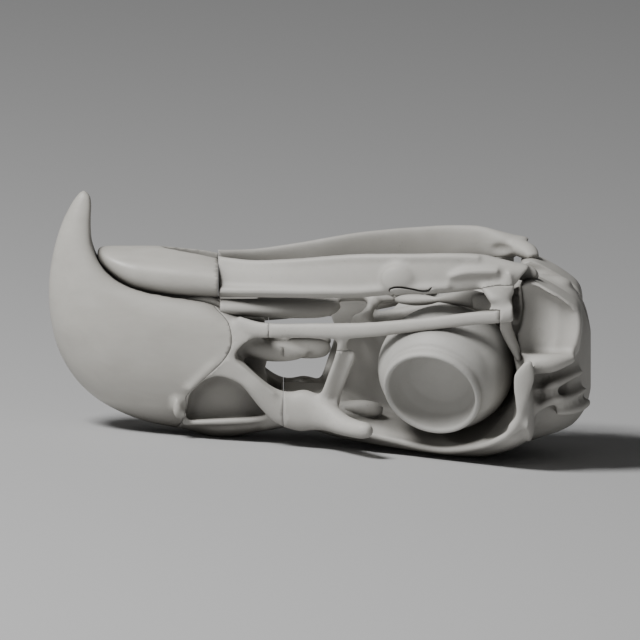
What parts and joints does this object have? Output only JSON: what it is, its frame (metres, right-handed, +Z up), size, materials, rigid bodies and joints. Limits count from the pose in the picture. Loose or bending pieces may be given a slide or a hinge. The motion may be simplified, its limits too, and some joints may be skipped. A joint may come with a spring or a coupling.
{
  "type": "eagle skull",
  "caption": "Skull of a large eagle with hooked horn beak sheaths, lower jaw and bony eye rings, lying on its roof.",
  "frame": {"origin": "on the table, under the middle of the skull's length and width", "axes": "-X towards the beak's hook, +Y to the skull's left side (it lies on its roof), +Z up from the table"},
  "size_m": [0.1264, 0.0622, 0.055],
  "materials": {
    "bone": "matte dry bone",
    "horn": "satin horn sheath",
    "eye_bone": "matte thin bone plates"
  },
  "bodies": {
    "root": {"upper_beak": "horn", "lower_beak": "horn", "face": "bone", "cranium": "bone", "lacrimal_right": "bone", "lacrimal_left": "bone", "jugal_right": "bone", "jugal_left": "bone", "palatine_right": "bone", "palatine_left": "bone", "pterygoid_right": "bone", "pterygoid_left": "bone", "quadrate_right": "bone", "quadrate_left": "bone", "jaw_ramus_right": "bone", "jaw_ramus_left": "bone", "eye_ring_right": "eye_bone", "eye_ring_left": "eye_bone"}
  },
  "joints": []
}
